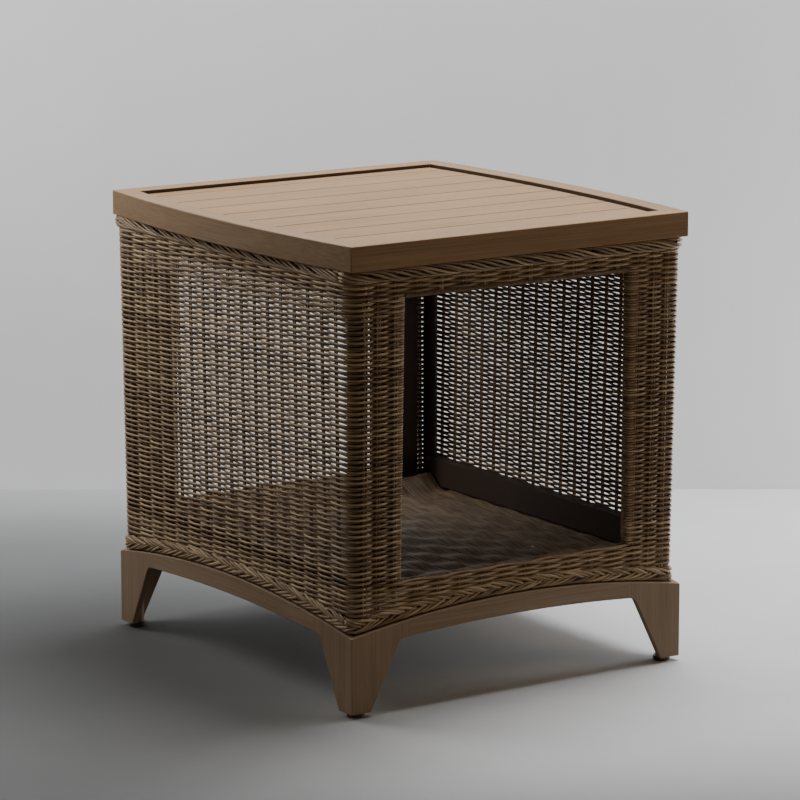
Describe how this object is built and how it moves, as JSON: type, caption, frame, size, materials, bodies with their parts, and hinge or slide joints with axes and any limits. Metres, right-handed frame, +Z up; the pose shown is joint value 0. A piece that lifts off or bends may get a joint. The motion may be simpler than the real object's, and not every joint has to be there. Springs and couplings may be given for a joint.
{
  "type": "outdoor side table",
  "caption": "Square wicker side table for the garden: slatted wood-look top, woven resin sides open front and back, woven shelf inside, arched base on levelling glides.",
  "frame": {"origin": "centre of the table's plan, on the floor under the glides", "axes": "+Z up, the open front faces -Y, the closed woven sides face -X and +X"},
  "size_m": [0.6, 0.626, 0.644],
  "materials": {
    "wood_look": "hollow aluminium with a brushed wood-look coating, satin",
    "wood_look_base": "cast aluminium with a dark brushed wood-look coating, satin",
    "resin_strand": "round resin strand in mixed browns, matt",
    "frame_tube": "powder coated dark brown",
    "screws": "stainless",
    "glide_plastic": "dark brown, moulded"
  },
  "bodies": {
    "table": {"top_rail_front": "wood_look", "top_rail_back": "wood_look", "top_rail_left": "wood_look", "top_rail_right": "wood_look", "slat_1": "wood_look", "slat_2": "wood_look", "slat_3": "wood_look", "slat_4": "wood_look", "slat_5": "wood_look", "slat_6": "wood_look", "slat_7": "wood_look", "slat_8": "wood_look", "slat_9": "wood_look", "slat_battens": "frame_tube", "corner_keys": "frame_tube", "slat_screws": "screws", "top_screws": "screws", "post_front_left": "frame_tube", "post_front_right": "frame_tube", "post_back_left": "frame_tube", "post_back_right": "frame_tube", "top_tube_front": "frame_tube", "top_tube_back": "frame_tube", "top_tube_left": "frame_tube", "top_tube_right": "frame_tube", "side_rail_left": "frame_tube", "side_rail_right": "frame_tube", "shelf_bearers": "frame_tube", "shelf_bars": "frame_tube", "jamb_tubes": "frame_tube", "sill_rods": "frame_tube", "lower_rim": "frame_tube", "weave_left": "resin_strand", "weave_right": "resin_strand", "weave_post_front_left": "resin_strand", "weave_post_front_right": "resin_strand", "weave_post_back_left": "resin_strand", "weave_post_back_right": "resin_strand", "weave_headers": "resin_strand", "weave_sills": "resin_strand", "shelf_weave": "resin_strand", "top_border": "resin_strand", "bottom_braid": "resin_strand", "opening_trim": "resin_strand", "leg_front_left": "wood_look_base", "leg_front_right": "wood_look_base", "leg_back_left": "wood_look_base", "leg_back_right": "wood_look_base", "apron_front": "wood_look_base", "apron_back": "wood_look_base", "apron_left": "wood_look_base", "apron_right": "wood_look_base", "corner_gussets": "frame_tube", "base_bolts": "screws"},
    "glide_front_left": {"glide_front_left": "glide_plastic"},
    "glide_front_right": {"glide_front_right": "glide_plastic"},
    "glide_back_left": {"glide_back_left": "glide_plastic"},
    "glide_back_right": {"glide_back_right": "glide_plastic"}
  },
  "joints": [
    {"name": "glide_front_left_screw", "type": "slide", "parent": "table", "child": "glide_front_left", "axis": [0, 0, -1], "range_m": [0, 0.008]},
    {"name": "glide_front_right_screw", "type": "slide", "parent": "table", "child": "glide_front_right", "axis": [0, 0, -1], "range_m": [0, 0.008]},
    {"name": "glide_back_left_screw", "type": "slide", "parent": "table", "child": "glide_back_left", "axis": [0, 0, -1], "range_m": [0, 0.008]},
    {"name": "glide_back_right_screw", "type": "slide", "parent": "table", "child": "glide_back_right", "axis": [0, 0, -1], "range_m": [0, 0.008]}
  ]
}
